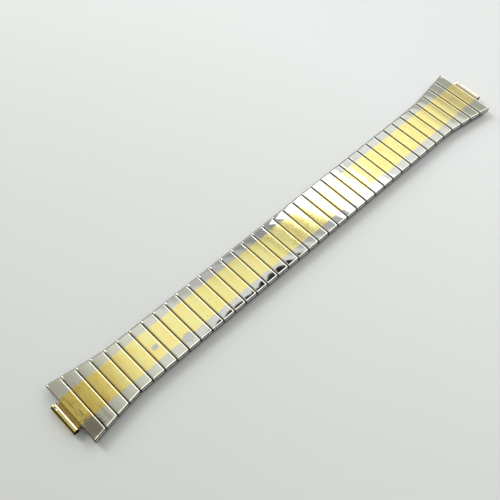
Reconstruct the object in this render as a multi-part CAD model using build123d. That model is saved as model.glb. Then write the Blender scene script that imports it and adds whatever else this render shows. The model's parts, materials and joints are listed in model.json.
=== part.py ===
from build123d import *
import os

os.makedirs("parts", exist_ok=True)

# Expansion watch band of two staggered rows of flat sleeves, in millimetres.
# X runs along the band, Y across it and Z out of the wrist side, which lies on Z = 0.
# The origin is under the middle of the middle link.

# Links along the band
LINK_COUNT = 39
LINK_PITCH = 4.0
CAP_GAP = 0.15

# Width of the band, and the flare that fits its ends to the watch case
BAND_WIDTH = 14.65
END_WIDTH = 19.5
FLARE_LENGTH = 17.2
FLARE_POWER = 1.2

# Decorative cap of a link: a pressed shell with bevelled edges and turned-in tabs
CAP_THICKNESS = 0.25
CAP_WALL = 0.25
CAP_BEVEL = 0.3
CAP_DEPTH = 1.6
CAP_TAB_WIDTH = 4.0
CAP_TAB_LENGTH = 0.45
CAP_TAB_THICKNESS = 0.13
CAP_SEAT_GAP = 0.02

# Flat sleeves of the upper and lower rows
SLEEVE_LENGTH = 3.3
SLEEVE_WALL = 0.2
UPPER_SLEEVE_HEIGHT = 1.18
LOWER_SLEEVE_HEIGHT = 1.35
ROW_GAP = 0.3

# Connecting bows: U-shaped strips whose legs slip into an upper and a lower sleeve
BOW_WIDTH = 0.8
BOW_THICKNESS = 0.25
BOW_LEG_LENGTH = 2.4
BOW_SIDE_GAP = 0.03
BOW_WALL_GAP = 0.02
BOW_CAP_GAP = 0.045

# Leaf springs that press the legs of the bows flat against the sleeve walls
SPRING_THICKNESS = 0.12
SPRING_WIDTH = 2.5
SPRING_TIP_INSET = 0.4
SPRING_PAD_LENGTH = 1.6
SPRING_FLAT_LENGTH = 3.6
SPRING_SEAT_GAP = 0.02

# End pieces: a rolled tube for the spring bar, and a hooked tongue in the end link
TUBE_DIAMETER = 2.1
TUBE_BORE = 1.6
TUBE_LENGTH = 8.9
TUBE_HEIGHT = 1.6
TUBE_GAP = 0.55
TUBE_SEAM = 0.1
DIMPLE_DIAMETER = 0.6
DIMPLE_DEPTH = 0.12
DIMPLE_INSET = 1.2
TONGUE_THICKNESS = 0.25
TONGUE_LIFT = 0.2
TONGUE_WIDTH = 8.4
HOOK_THICKNESS = 0.3
HOOK_DEPTH = 0.16
HOOK_GAP = 0.15
SLOT_GAP = 0.06
END_TRAVEL = 0.35

# Heights of the layers, worked out from the sizes above
LOWER_TOP = LOWER_SLEEVE_HEIGHT
UPPER_LOW = LOWER_TOP + ROW_GAP
UPPER_TOP = UPPER_LOW + UPPER_SLEEVE_HEIGHT
BAND_TOP = UPPER_TOP + CAP_SEAT_GAP + CAP_THICKNESS
BAND_HALF_LENGTH = LINK_COUNT * LINK_PITCH / 2
MIDDLE_LINK = (LINK_COUNT + 1) // 2
END_LINK_X = (LINK_COUNT - MIDDLE_LINK) * LINK_PITCH
SLEEVE_END = BAND_WIDTH / 2 - CAP_WALL - BOW_CAP_GAP - BOW_THICKNESS - BOW_SIDE_GAP
BOW_OFFSET = LINK_PITCH / 4
UPPER_LEG_TOP = UPPER_TOP - SLEEVE_WALL - BOW_WALL_GAP
LOWER_LEG_LOW = SLEEVE_WALL + BOW_WALL_GAP
TONGUE_LOW = UPPER_LOW + SLEEVE_WALL + TONGUE_LIFT
TUBE_X = BAND_HALF_LENGTH - CAP_GAP / 2 + TUBE_GAP + TUBE_DIAMETER / 2
SLOT_IN = END_LINK_X + SLEEVE_LENGTH / 2 - SLEEVE_WALL
HOOK_OUT = SLOT_IN - SLOT_GAP
HOOK_IN = HOOK_OUT - HOOK_THICKNESS


def link_x(link):
    """Middle of a link along the band; the links are counted from 1 at the -X end."""
    return (link - MIDDLE_LINK) * LINK_PITCH


def gap_x(gap):
    """Middle of the gap between a link and the next one."""
    return link_x(gap) + LINK_PITCH / 2


def half_width(x):
    """Half of the band's width at a place along it, wider towards both ends."""
    from_end = max(BAND_HALF_LENGTH - abs(x), 0)
    flare = max(FLARE_LENGTH - from_end, 0) / FLARE_LENGTH
    return BAND_WIDTH / 2 + (END_WIDTH - BAND_WIDTH) / 2 * flare**FLARE_POWER


def block(x_low, x_high, y_low, y_high, z_low, z_high):
    """A box between two corners."""
    size = Box(x_high - x_low, y_high - y_low, z_high - z_low)
    return Pos((x_low + x_high) / 2, (y_low + y_high) / 2, (z_low + z_high) / 2) * size


def wedge(x_low, x_high, inset, z_low, z_high):
    """A block between two heights whose ends follow the band's edges, drawn in by an inset."""
    low_half = half_width(x_low) - inset
    high_half = half_width(x_high) - inset
    x_low, x_high = x_low + inset, x_high - inset
    corners = [(x_low, -low_half), (x_high, -high_half), (x_high, high_half), (x_low, low_half)]
    outline = Pos(0, 0, z_low) * make_face(Polyline(*corners, close=True))
    return extrude(outline, z_high - z_low)


def strip(points, x_low, x_high):
    """A bent strip: an outline of Y and Z places, as wide as the stretch of X that it covers."""
    outline = make_face(Polyline(*[(x_low, y, z) for y, z in points], close=True))
    return extrude(outline, x_high - x_low, dir=(1, 0, 0))


def cap(link):
    """The bevelled shell over an upper sleeve, open below, with a tab turned in on either side."""
    x_low = link_x(link) - (LINK_PITCH - CAP_GAP) / 2
    x_high = link_x(link) + (LINK_PITCH - CAP_GAP) / 2
    low = BAND_TOP - CAP_DEPTH
    shell = wedge(x_low, x_high, 0, low, BAND_TOP)
    shell = chamfer(shell.faces().sort_by(Axis.Z)[-1].edges(), CAP_BEVEL)
    shell -= wedge(x_low, x_high, CAP_WALL, low, BAND_TOP - CAP_THICKNESS)
    tab_end = CAP_WALL + CAP_TAB_LENGTH
    half_tab = CAP_TAB_WIDTH / 2
    for tab_low, tab_high in ((x_low, x_low + tab_end), (x_high - tab_end, x_high)):
        shell += block(tab_low, tab_high, -half_tab, half_tab, low, low + CAP_TAB_THICKNESS)
    return shell


def sleeve(x, z_low, height):
    """A flat tube across the band, open at both ends."""
    half = SLEEVE_LENGTH / 2
    inner = half - SLEEVE_WALL
    outside = block(x - half, x + half, -SLEEVE_END, SLEEVE_END, z_low, z_low + height)
    hollow_low, hollow_high = z_low + SLEEVE_WALL, z_low + height - SLEEVE_WALL
    return outside - block(x - inner, x + inner, -SLEEVE_END, SLEEVE_END, hollow_low, hollow_high)


def leaf_spring(x_low, x_high, tip_z, middle_z, lift):
    """A bent leaf: flat pads near the tips at one height, and a flat middle at the other.

    Both heights are of the face that rests on the wall or the leg; lift is the leaf's thickness,
    negative where the leaf lies below that face.
    """
    tip = SLEEVE_END - SPRING_TIP_INSET
    pad = tip - SPRING_PAD_LENGTH
    flat = SPRING_FLAT_LENGTH / 2
    bend = [(-tip, tip_z), (-pad, tip_z), (-flat, middle_z), (flat, middle_z), (pad, tip_z), (tip, tip_z)]
    other = [(y, z + lift) for y, z in reversed(bend)]
    return strip(bend + other, x_low, x_high)


def upper_spring(x_low, x_high):
    """The leaf in an upper sleeve: tips under the legs of the bows, middle on the lower wall."""
    tip_z = UPPER_LEG_TOP - BOW_THICKNESS - SPRING_SEAT_GAP - SPRING_THICKNESS
    middle_z = UPPER_LOW + SLEEVE_WALL + SPRING_SEAT_GAP
    return leaf_spring(x_low, x_high, tip_z, middle_z, SPRING_THICKNESS)


def lower_spring(x):
    """The leaf in a lower sleeve: tips on the legs of the bows, middle under the upper wall."""
    tip_z = LOWER_LEG_LOW + BOW_THICKNESS + SPRING_SEAT_GAP + SPRING_THICKNESS
    middle_z = LOWER_TOP - SLEEVE_WALL - SPRING_SEAT_GAP
    half = SPRING_WIDTH / 2
    return leaf_spring(x - half, x + half, tip_z, middle_z, -SPRING_THICKNESS)


def lower_link(gap):
    """A lower sleeve and its spring, centred under the gap between two caps."""
    x = gap_x(gap)
    return [sleeve(x, 0, LOWER_SLEEVE_HEIGHT), lower_spring(x)]


def connecting_bow(x, side):
    """A U-shaped strip at one edge of the band: a web, and a leg in each row; side is 1 or -1."""
    web_in = SLEEVE_END + BOW_SIDE_GAP
    web_out = web_in + BOW_THICKNESS
    tip = web_in - BOW_LEG_LENGTH
    low, top = LOWER_LEG_LOW, UPPER_LEG_TOP
    shape = [
        (tip, low),
        (web_out, low),
        (web_out, top),
        (tip, top),
        (tip, top - BOW_THICKNESS),
        (web_in, top - BOW_THICKNESS),
        (web_in, low + BOW_THICKNESS),
        (tip, low + BOW_THICKNESS),
    ]
    half = BOW_WIDTH / 2
    return strip([(side * y, z) for y, z in shape], x - half, x + half)


def upper_link(link):
    """Cap, upper sleeve and upper spring of a link that has neighbours on both sides."""
    x = link_x(link)
    half = SPRING_WIDTH / 2
    return [cap(link), sleeve(x, UPPER_LOW, UPPER_SLEEVE_HEIGHT), upper_spring(x - half, x + half)]


def across(end, x_in, x_out, half_y, z_low, z_high):
    """A block near one end of the band, from an inner to an outer place; end is 1 or -1."""
    x_low, x_high = sorted((end * x_in, end * x_out))
    return block(x_low, x_high, -half_y, half_y, z_low, z_high)


def end_link(link, end):
    """The last link of an end: its cap and sleeve are slotted for the tongue of the end piece.

    Its leaf spring is narrower, so that the tongue's hook can travel beside it.
    """
    slot_half = TONGUE_WIDTH / 2 + SLOT_GAP
    slot_top = TONGUE_LOW + TONGUE_THICKNESS + SLOT_GAP
    slot = across(end, SLOT_IN, BAND_HALF_LENGTH, slot_half, TONGUE_LOW - SLOT_GAP, slot_top)
    spring_in = END_LINK_X - SPRING_WIDTH / 2
    spring_out = HOOK_IN - END_TRAVEL - HOOK_GAP
    x_low, x_high = sorted((end * spring_in, end * spring_out))
    shell = sleeve(link_x(link), UPPER_LOW, UPPER_SLEEVE_HEIGHT)
    return [cap(link) - slot, shell - slot, upper_spring(x_low, x_high)]


def end_piece(end):
    """The rolled tube and its tongue, whose hook is held behind the slotted wall of the sleeve."""
    radius = TUBE_DIAMETER / 2
    axis = Pos(end * TUBE_X, 0, TUBE_HEIGHT) * Rot(X=90)
    tongue_top = TONGUE_LOW + TONGUE_THICKNESS
    half = TONGUE_WIDTH / 2
    piece = axis * Cylinder(radius, TUBE_LENGTH)
    piece += across(end, HOOK_IN, TUBE_X, half, TONGUE_LOW, tongue_top)
    piece += across(end, HOOK_IN, HOOK_OUT, half, TONGUE_LOW - HOOK_DEPTH, tongue_top)
    piece -= axis * Cylinder(TUBE_BORE / 2, TUBE_LENGTH)
    seam_low = TONGUE_LOW - TUBE_SEAM
    piece -= across(end, TUBE_X - radius, TUBE_X - radius / 2, TUBE_LENGTH, seam_low, TONGUE_LOW)
    dimple_y = TUBE_LENGTH / 2 - DIMPLE_INSET
    dimple = Cylinder(DIMPLE_DIAMETER / 2, DIMPLE_DEPTH * 2)
    return piece - Pos(end * TUBE_X, dimple_y, TUBE_HEIGHT + radius) * dimple


def lower_gaps_apart():
    """The gaps whose lower link is a part of its own: every second one, outwards from the middle."""
    right = range(MIDDLE_LINK + 1, LINK_COUNT - 1, 2)
    left = [LINK_COUNT - gap for gap in right]
    return sorted([*right, *left])


def gap_carried_by(link):
    """The gap whose lower link travels with this link, or None; it lies on the link's inner side."""
    if link == MIDDLE_LINK:
        return None
    gap = link - 1 if link > MIDDLE_LINK else link
    return None if gap in lower_gaps_apart() else gap


def link_pieces(link):
    """Every solid of a link's sub-part."""
    if link in (1, LINK_COUNT):
        pieces = end_link(link, 1 if link == LINK_COUNT else -1)
    else:
        pieces = upper_link(link)
    gap = gap_carried_by(link)
    if gap is not None:
        pieces += lower_link(gap)
    return pieces


def all_bows():
    """Four connecting bows to each gap: one on each side of it, at either edge of the band."""
    bows = []
    for gap in range(1, LINK_COUNT):
        for offset in (-BOW_OFFSET, BOW_OFFSET):
            for side in (-1, 1):
                bows.append(connecting_bow(gap_x(gap) + offset, side))
    return bows


def write(name, pieces):
    """Write one sub-part, a group of separate solids, to its own file."""
    solids = [solid for piece in pieces for solid in piece.solids()]
    export_step(Compound(children=solids), f"parts/{name}.step")


for link in range(1, LINK_COUNT + 1):
    write(f"link_{link:02d}", link_pieces(link))

for gap in lower_gaps_apart():
    write(f"lower_link_{gap:02d}", lower_link(gap))

write("connecting_bows", all_bows())
write("near_end_tube", [end_piece(-1)])
write("far_end_tube", [end_piece(1)])
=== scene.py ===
"""Expansion watch band: the looks of its caps, sleeves, leaf springs, connecting bows and end tubes.

X runs along the band, Y across it and Z out of the wrist side. Every size is in metres.
"""

import json
import math

import bmesh
import bpy
import numpy as np
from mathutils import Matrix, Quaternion, Vector

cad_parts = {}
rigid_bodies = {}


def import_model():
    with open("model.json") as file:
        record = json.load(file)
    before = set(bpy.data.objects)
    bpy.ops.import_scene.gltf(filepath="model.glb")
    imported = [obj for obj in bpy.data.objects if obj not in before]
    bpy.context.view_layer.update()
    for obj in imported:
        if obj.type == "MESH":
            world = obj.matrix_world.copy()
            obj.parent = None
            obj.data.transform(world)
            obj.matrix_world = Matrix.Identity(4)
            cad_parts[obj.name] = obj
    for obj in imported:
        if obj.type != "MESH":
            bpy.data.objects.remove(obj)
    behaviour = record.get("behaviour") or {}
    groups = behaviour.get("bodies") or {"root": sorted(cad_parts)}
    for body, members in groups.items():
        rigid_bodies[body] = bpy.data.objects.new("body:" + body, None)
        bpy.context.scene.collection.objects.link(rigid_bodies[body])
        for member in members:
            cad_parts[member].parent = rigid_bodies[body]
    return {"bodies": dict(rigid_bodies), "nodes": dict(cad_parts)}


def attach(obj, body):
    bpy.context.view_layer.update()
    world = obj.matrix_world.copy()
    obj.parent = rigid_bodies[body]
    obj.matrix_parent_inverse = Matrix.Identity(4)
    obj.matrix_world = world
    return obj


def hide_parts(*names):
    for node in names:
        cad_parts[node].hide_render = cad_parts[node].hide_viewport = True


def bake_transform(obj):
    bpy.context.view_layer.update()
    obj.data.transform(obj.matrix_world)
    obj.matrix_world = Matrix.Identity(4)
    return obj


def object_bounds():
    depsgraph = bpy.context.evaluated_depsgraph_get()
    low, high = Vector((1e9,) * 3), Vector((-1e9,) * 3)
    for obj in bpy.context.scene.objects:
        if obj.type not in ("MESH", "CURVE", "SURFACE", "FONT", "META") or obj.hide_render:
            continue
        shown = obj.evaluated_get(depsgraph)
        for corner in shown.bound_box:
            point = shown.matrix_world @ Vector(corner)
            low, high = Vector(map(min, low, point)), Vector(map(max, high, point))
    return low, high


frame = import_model()
cad_low, cad_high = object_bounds()

MM = 0.001

# The band's plan, as in the solids
PITCH = 4.0 * MM
LINKS = sum(name.startswith("link_") for name in frame["nodes"])
MIDDLE = (LINKS + 1) // 2
BAND_HALF = LINKS * PITCH / 2
BAND_TOP = cad_high[2]
HALF_WIDTH = 7.325 * MM
END_HALF_WIDTH = 9.75 * MM
FLARE_LENGTH = 17.2 * MM
FLARE_POWER = 1.2

# Caps: each tilts a little by chance, and its top is crowned and falls away towards both ends, where the
# bevels are wider by a factor
CAP_GAP = 0.15 * MM
CAP_DEPTH = 1.6 * MM
CAP_WALL = 0.25 * MM
CAP_CORNER = 0.14 * MM
CAP_LEAST_CORNER = 0.04 * MM
CAP_TILT = 0.0022
CAP_TILT_ACROSS = 0.25
CAP_CROWN = 0.012 * MM
CAP_END_FALL = 0.08 * MM
CAP_END_POWER = 6
CAP_END_BEVEL = 1.3
CAP_CELLS_ACROSS = 6
CAP_CELLS_ALONG = 22
# Outside of a cap from the flat top outwards: how far in from the edge, and how far below the top
CAP_PROFILE = (
    (0.45 * MM, 0.0),
    (0.40 * MM, 0.0004 * MM),
    (0.355 * MM, 0.003 * MM),
    (0.31 * MM, 0.014 * MM),
    (0.17 * MM, 0.068 * MM),
    (0.15 * MM, 0.080 * MM),
    (0.03 * MM, 0.246 * MM),
    (0.0, 0.300 * MM),
    (0.0, 0.42 * MM),
    (0.0, CAP_DEPTH - 0.05 * MM),
    (0.03 * MM, CAP_DEPTH),
    (CAP_WALL - 0.03 * MM, CAP_DEPTH),
    (CAP_WALL, CAP_DEPTH - 0.05 * MM),
    (CAP_WALL, CAP_WALL + 0.1 * MM),
    (CAP_WALL + 0.1 * MM, CAP_WALL),
)

# Flat sleeves of both rows: their ends are drawn in by a lip and bevelled over a short length
SLEEVE_LENGTH = 3.3 * MM
SLEEVE_HALF_WIDTH = 6.75 * MM
SLEEVE_WALL = 0.2 * MM
SLEEVE_CORNER = 0.3 * MM
SLEEVE_SEAM = 0.05 * MM
SLEEVE_LIP = 0.04 * MM
SLEEVE_END_BEVEL = 0.05 * MM
UPPER_LOW = 1.65 * MM
UPPER_TOP = 2.83 * MM
LOWER_TOP = 1.35 * MM

# Leaf springs: the flat middle and the slopes are shares of the half length; those of the end links
# reach less far out
SPRING_THICKNESS = 0.12 * MM
SPRING_HALF_LENGTH = 6.3 * MM
SPRING_WIDTH = 2.5 * MM
SPRING_FLAT = 0.25
SPRING_SLOPE = 0.5
SPRING_STEPS = 25
SPRING_SEAT_GAP = 0.02 * MM
UPPER_SPRING_RISE = 0.325 * MM
LOWER_SPRING_FALL = 0.45 * MM
END_SPRING_OUT = 0.59 * MM

# Connecting bows; the places are of the strip's middle line
BOW_WIDTH = 0.8 * MM
BOW_THICKNESS = 0.25 * MM
BOW_OFFSET = PITCH / 4
BOW_WEB_Y = 6.905 * MM
BOW_TIP_Y = 4.38 * MM
BOW_LOW = 0.345 * MM
BOW_HIGH = 2.485 * MM
BOW_BEND = 0.3 * MM

# End tubes, rolled from one sheet with their tongues. A turn is an angle about the tube's axis
TUBE_X = 79.525 * MM
TUBE_Z = 1.6 * MM
TUBE_RADIUS = 1.05 * MM
TUBE_WALL = 0.22 * MM
TUBE_HALF = 4.45 * MM
TONGUE_Z = 2.175 * MM
TONGUE_HALF = 4.2 * MM
TUBE_BEND_TURN = 0.05
TUBE_SEAM_TURN = 0.34
TUBE_STEPS = 110
TUBE_STEPS_ALONG = 30
# Rings of a rounded rim, from the end inwards: how far in, and how much of the wall's thickness is left
TUBE_RIMS = ((0.0, 0.55), (0.02 * MM, 0.85))
TUBE_RIM_LENGTH = 0.06 * MM
BEND_X = 78.26 * MM
BEND_LEAD = 0.05 * MM
BEND_STEPS = 5
HOOK_X = 77.24 * MM
HOOK_FALL = 0.28 * MM
HOOK_CORNER = 0.08 * MM
HOOK_LENGTH = 0.3 * MM
DIMPLE_Y = 3.25 * MM
DIMPLE_RADIUS = 0.44 * MM
DIMPLE_DEPTH = 0.03 * MM
DIMPLE_WALL = 0.3
DIMPLE_TURN = -0.25
DIMPLE_STEPS = 15
# Points nearer to the axis than this many radii belong to the tube and not to its tongue
ON_TUBE = 1.02

# Up to this angle between its faces a piece is shaded smooth
ROW_SMOOTH = math.radians(40)
TUBE_SMOOTH = math.radians(50)

random = np.random.default_rng(39)


def link_x(link):
    """Middle of a link; links are counted from 1 at the near end."""
    return (link - MIDDLE) * PITCH


def half_width(x):
    """Half of the band's width at x: constant, plus a power curve over the flared length at each end."""
    from_end = np.maximum(BAND_HALF - np.abs(x), 0)
    flare = np.maximum(FLARE_LENGTH - from_end, 0) / FLARE_LENGTH
    return HALF_WIDTH + (END_HALF_WIDTH - HALF_WIDTH) * flare**FLARE_POWER


def mesh_piece(name, points, faces, material, flat_angle=None):
    """A mesh object at the origin from an array of points and a list of faces, smooth up to an angle."""
    mesh = bpy.data.meshes.new(name)
    mesh.from_pydata(np.asarray(points).tolist(), [], faces)
    mesh.shade_smooth()
    if flat_angle is not None:
        mesh.set_sharp_from_angle(angle=flat_angle)
    mesh.materials.append(material)
    piece = bpy.data.objects.new(name, mesh)
    bpy.context.scene.collection.objects.link(piece)
    return piece


def grid_faces(rows, columns, first=0, close_rows=False, close_columns=False):
    """Quads between the points of a grid of rows and columns, closed on itself where asked."""
    i = np.arange(rows if close_rows else rows - 1)[:, None]
    j = np.arange(columns if close_columns else columns - 1)[None, :]
    i_next, j_next = (i + 1) % rows, (j + 1) % columns
    row, row_next = i * columns, i_next * columns
    quads = np.stack([row + j, row + j_next, row_next + j_next, row_next + j], axis=-1)
    return (quads.reshape(-1, 4) + first).tolist()


def swept(places):
    """A solid strip or tube from its outlines, one array of points for each step along a path.

    The outlines all have the same number of points. A flat face closes each end.
    """
    steps, count = len(places), len(places[0])
    faces = grid_faces(steps, count, close_columns=True)
    faces.append(list(range(count))[::-1])
    faces.append(list(range((steps - 1) * count, steps * count)))
    return np.concatenate(places), faces


def out_facing(piece):
    """Turns the faces of a closed piece outwards."""
    shell = bmesh.new()
    shell.from_mesh(piece.data)
    bmesh.ops.recalc_face_normals(shell, faces=shell.faces)
    shell.to_mesh(piece.data)
    shell.free()
    return piece


def finished(piece, body, slot, *nodes):
    """Rides a piece on its body and hides the solids that it stands for."""
    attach(piece, body)
    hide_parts(*nodes)
    return piece


# Materials

# Range that holds nearly all values of a noise
NOISE_RANGE = (0.3, 0.7)


class Nodes:
    """The node tree of a material or world, with short ways to add its usual nodes."""

    def __init__(self, owner):
        owner.use_nodes = True
        self.tree = owner.node_tree

    def add(self, kind, inputs=None, **settings):
        """Adds a node, sets its properties, and links or sets its inputs."""
        made = self.tree.nodes.new(kind)
        for key, value in settings.items():
            setattr(made, key, value)
        for key, value in (inputs or {}).items():
            if isinstance(value, bpy.types.NodeSocket):
                self.tree.links.new(value, made.inputs[key])
            else:
                made.inputs[key].default_value = value
        return made

    def math(self, operation, first, second=0.0, *more):
        """One operation on one or two values, or on each further value in turn."""
        made = self.add("ShaderNodeMath", {0: first, 1: second}, operation=operation).outputs[0]
        return self.math(operation, made, *more) if more else made

    def dot(self, vector, way):
        inputs = {0: vector, 1: way}
        return self.add("ShaderNodeVectorMath", inputs, operation="DOT_PRODUCT").outputs["Value"]

    def ramp(self, value, low, high, to_low=0.0, to_high=1.0, smooth=False):
        """Maps a value from one range to another, held at the ends."""
        inputs = {0: value, 1: low, 2: high, 3: to_low, 4: to_high}
        kind = "SMOOTHSTEP" if smooth else "LINEAR"
        return self.add("ShaderNodeMapRange", inputs, interpolation_type=kind).outputs[0]

    def mix(self, share, first, second, blend="MIX"):
        inputs = {0: share, 6: first, 7: second}
        return self.add("ShaderNodeMix", inputs, data_type="RGBA", blend_type=blend).outputs[2]


class Surface(Nodes):
    """A metal's node tree, built from the object's own coordinates."""

    def __init__(self, name):
        self.material = bpy.data.materials.new(name)
        super().__init__(self.material)
        self.shader = self.tree.nodes["Principled BSDF"]
        coordinates = self.add("ShaderNodeTexCoord").outputs
        self.place = coordinates["Object"]
        self.axes = self.add("ShaderNodeSeparateXYZ", {0: self.place}).outputs
        self.facing = self.add("ShaderNodeSeparateXYZ", {0: coordinates["Normal"]}).outputs

    def noise(self, repeats, detail=2.0, rough=0.5):
        """A noise that repeats so often in a metre along X, Y and Z."""
        inputs = {"Vector": self.stretched(repeats), "Scale": 1.0, "Detail": detail, "Roughness": rough}
        return self.add("ShaderNodeTexNoise", inputs).outputs["Fac"]

    def stretched(self, repeats, middle=(0, 0, 0)):
        """The place with each axis scaled, and moved so that one place becomes the origin."""
        location = tuple(-at * scale for at, scale in zip(middle, repeats))
        inputs = {"Vector": self.place, "Location": location, "Scale": repeats}
        return self.add("ShaderNodeMapping", inputs, vector_type="POINT").outputs[0]

    def distance(self, first, second):
        """How far a place is from the origin of two perpendicular measures."""
        squares = self.math("MULTIPLY", first, first), self.math("MULTIPLY", second, second)
        return self.math("SQRT", self.math("ADD", *squares))

    def between(self, value, begins, ends):
        """1 between two ranges of a value, over which it rises from 0 and falls to 0 again."""
        return self.math("MULTIPLY", self.ramp(value, *begins), self.ramp(value, *ends, 1.0, 0.0))

    def sway(self, noise, reach):
        """A noise's usual range mapped to the same distance either way."""
        return self.ramp(noise, *NOISE_RANGE, -reach, reach)

    def spot(self, link, x, y, half_x, half_y, ragged, soft):
        """1 inside an ellipse on the cap tops, fading to 0 over its ragged and soft edge."""
        local = self.stretched((1 / half_x, 1 / half_y, 0), (link_x(link) + x, y, 0))
        away = self.add("ShaderNodeVectorMath", {0: local}, operation="LENGTH").outputs["Value"]
        away = self.math("ADD", away, self.sway(self.noise(SPOT_EDGE), ragged))
        return self.ramp(away, 1 - soft, 1 + soft, 1.0, 0.0, smooth=True)

    def finish(self, colour, roughness, height, bump_share, bump_depth, painted_shade=None):
        """Joins the parts up; where the last argument is 1 the metal is hidden under painted shade that
        mirrors nothing.
        """
        inputs = {"Height": height, "Strength": bump_share, "Distance": bump_depth}
        bump = self.add("ShaderNodeBump", inputs)
        self.shader.inputs["Metallic"].default_value = 1.0
        # Painted shade takes the metal away, so that it mirrors little
        if painted_shade is not None:
            self.shader.inputs["Specular IOR Level"].default_value = SHADE_SHINE
            self.tree.links.new(self.math("SUBTRACT", 1.0, painted_shade), self.shader.inputs["Metallic"])
        self.tree.links.new(colour, self.shader.inputs["Base Color"])
        self.tree.links.new(roughness, self.shader.inputs["Roughness"])
        self.tree.links.new(bump.outputs[0], self.shader.inputs["Normal"])
        return self.material


# Mirror strength left where shade is painted over the metal
SHADE_SHINE = 0.05

# Colours of the caps
GOLD = (0.95, 0.80, 0.30, 1)
GOLD_PALE = (0.92, 0.87, 0.38, 1)
GOLD_DEEP = (0.80, 0.60, 0.13, 1)
GOLD_BROWN = (0.58, 0.42, 0.12, 1)
GOLD_TAN = (0.86, 0.68, 0.36, 1)
STEEL = (0.70, 0.70, 0.66, 1)
STEEL_GREY = (0.65, 0.65, 0.61, 1)
STEEL_WARM = (0.64, 0.64, 0.49, 1)
STEEL_DULL = (0.52, 0.52, 0.48, 1)
# Painted reflection: the caps' walls are brighter
WALL_PAINTED_REFLECTION = (0.90, 0.90, 0.88, 1)
# Painted highlight: pale on one bevel of each cap
BEVEL_HIGHLIGHT_PALE = (0.95, 0.93, 0.82, 1)
# Painted shade, multiplied into the grooves between the caps
GROOVE_PAINTED_SHADE = (0.82, 0.74, 0.62, 1)
DIRT = (0.16, 0.13, 0.08, 1)
# Black of painted shade on the caps, the sleeve ends and the bows
SHADE_BLACK = (0.02, 0.02, 0.02, 1)
# Colours of the end tubes
TUBE_GOLD = (0.82, 0.69, 0.26, 1)
TUBE_DEEP = (0.66, 0.52, 0.16, 1)
# Painted highlight on the tube's side towards the band
TUBE_HIGHLIGHT = (0.98, 0.96, 0.88, 1)
TUBE_PALE = (0.86, 0.82, 0.62, 1)
# Brown of the tongue's painted shade and of the dimple's ring
TUBE_BROWN = (0.17, 0.10, 0.028, 1)
# Painted shade on the tube's flank away from the band
TUBE_SHADE = (0.09, 0.055, 0.015, 1)
# Painted shade in the bore of the tubes
BORE_SHADE = (0.05, 0.04, 0.03, 1)

# Patterns: how often each repeats in a metre along X, Y and Z
CAP_CLOUDS = (420, 300, 420)
CAP_LINES = (260, 9000, 900)
CAP_GRAIN = (4200, 6500, 4200)
STRIPE_WAVES = (900, 300, 900)
BROWN_PATCHES = (700, 420, 0)
SPECK_CELLS = (520, 520, 0)
SPOT_EDGE = (1800, 1800, 0)
STEEL_CLOUDS = (500, 500, 700)
SLEEVE_LINES = (300, 7000, 900)
SPRING_LINES = (7000, 300, 900)
BOW_LINES = (900, 900, 5000)
TUBE_CLOUDS = (600, 350, 600)
TUBE_LINES = (3000, 300, 3000)
# Detail of the noises in clouds and in drawn lines, and how uneven those of the lines are
CLOUD_DETAIL = 4.0
LINES_DETAIL = 3.0
CAP_LINES_UNEVEN = 0.65
STEEL_LINES_UNEVEN = 0.6
# Ranges of the clouds over which one colour gives way to the other
CLOUD_BORDER = (0.35, 0.7)
GOLD_BORDER = (0.35, 0.68)

# The gold-coloured stripe along the middle of the caps: its half width, how far its border wanders on a
# cap and jumps from cap to cap, and how soft that border is as far as the middle link and at the far end
STRIPE_HALF = 4.4 * MM
STRIPE_WANDER = 0.10 * MM
STRIPE_JUMP = 0.12 * MM
STRIPE_SOFT = (0.14 * MM, 0.42 * MM)
# Shades along the band: first and last link of the change, shares there, whether it is smooth, and shade
GOLD_SHADES = ((1, 7, 0.85, 0.0, True, GOLD_DEEP), (34, 38, 0.0, 0.42, True, GOLD_TAN))
STEEL_SHADES = ((1, 13, 0.9, 0.0, False, STEEL_WARM), (30, 38, 0.0, 0.6, False, STEEL_WARM))
# Brown patches in the gold: the noise's detail and its range over which one begins, its share at the
# first link, and the link at which they end
BROWN_DETAIL = 3.0
BROWN_BORDER = (0.50, 0.66)
BROWN_SHARE = 0.65
BROWN_LAST = 5
# Places where the gold is lost: link, X and Y of the middle from that link's, half sizes along X and Y,
# raggedness and softness of the edge
GOLD_LOST = (
    (7, 0.1 * MM, -0.9 * MM, 1.0 * MM, 0.75 * MM, 0.25, 0.15),
    (9, 0.2 * MM, -4.55 * MM, 1.75 * MM, 1.35 * MM, 0.12, 0.15),
)
LOST_DULL = 0.5
# Streaks, tarnish and a stain: darkness, then the place as above
DARK_MARKS = (
    (0.65, (1, -0.6 * MM, 1.4 * MM, 0.12 * MM, 1.5 * MM, 0.4, 0.15)),
    (0.65, (1, 0.1 * MM, -1.9 * MM, 0.16 * MM, 1.1 * MM, 0.5, 0.15)),
    (0.74, (1, 0.1 * MM, -6.6 * MM, 2.6 * MM, 2.9 * MM, 0.25, 0.35)),
    (0.25, (2, 0.3 * MM, -6.6 * MM, 0.5 * MM, 2.4 * MM, 0.5, 0.3)),
)
# Specks: the range of distances at which one ends, the share of cells with one, and its darkness
SPECK_BORDER = (0.05, 0.14)
SPECK_CELLS_USED = 0.2
SPECK_SHARE = 0.55
# Parts of a cap's outside, by the lean of its outward direction along Y: the wall, brighter as a painted
# reflection, and the dark line of painted shade over it
WALL_BEGINS = (0.90, 0.97)
LINE_BEGINS = (0.45, 0.58)
LINE_ENDS = (0.86, 0.95)
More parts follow.
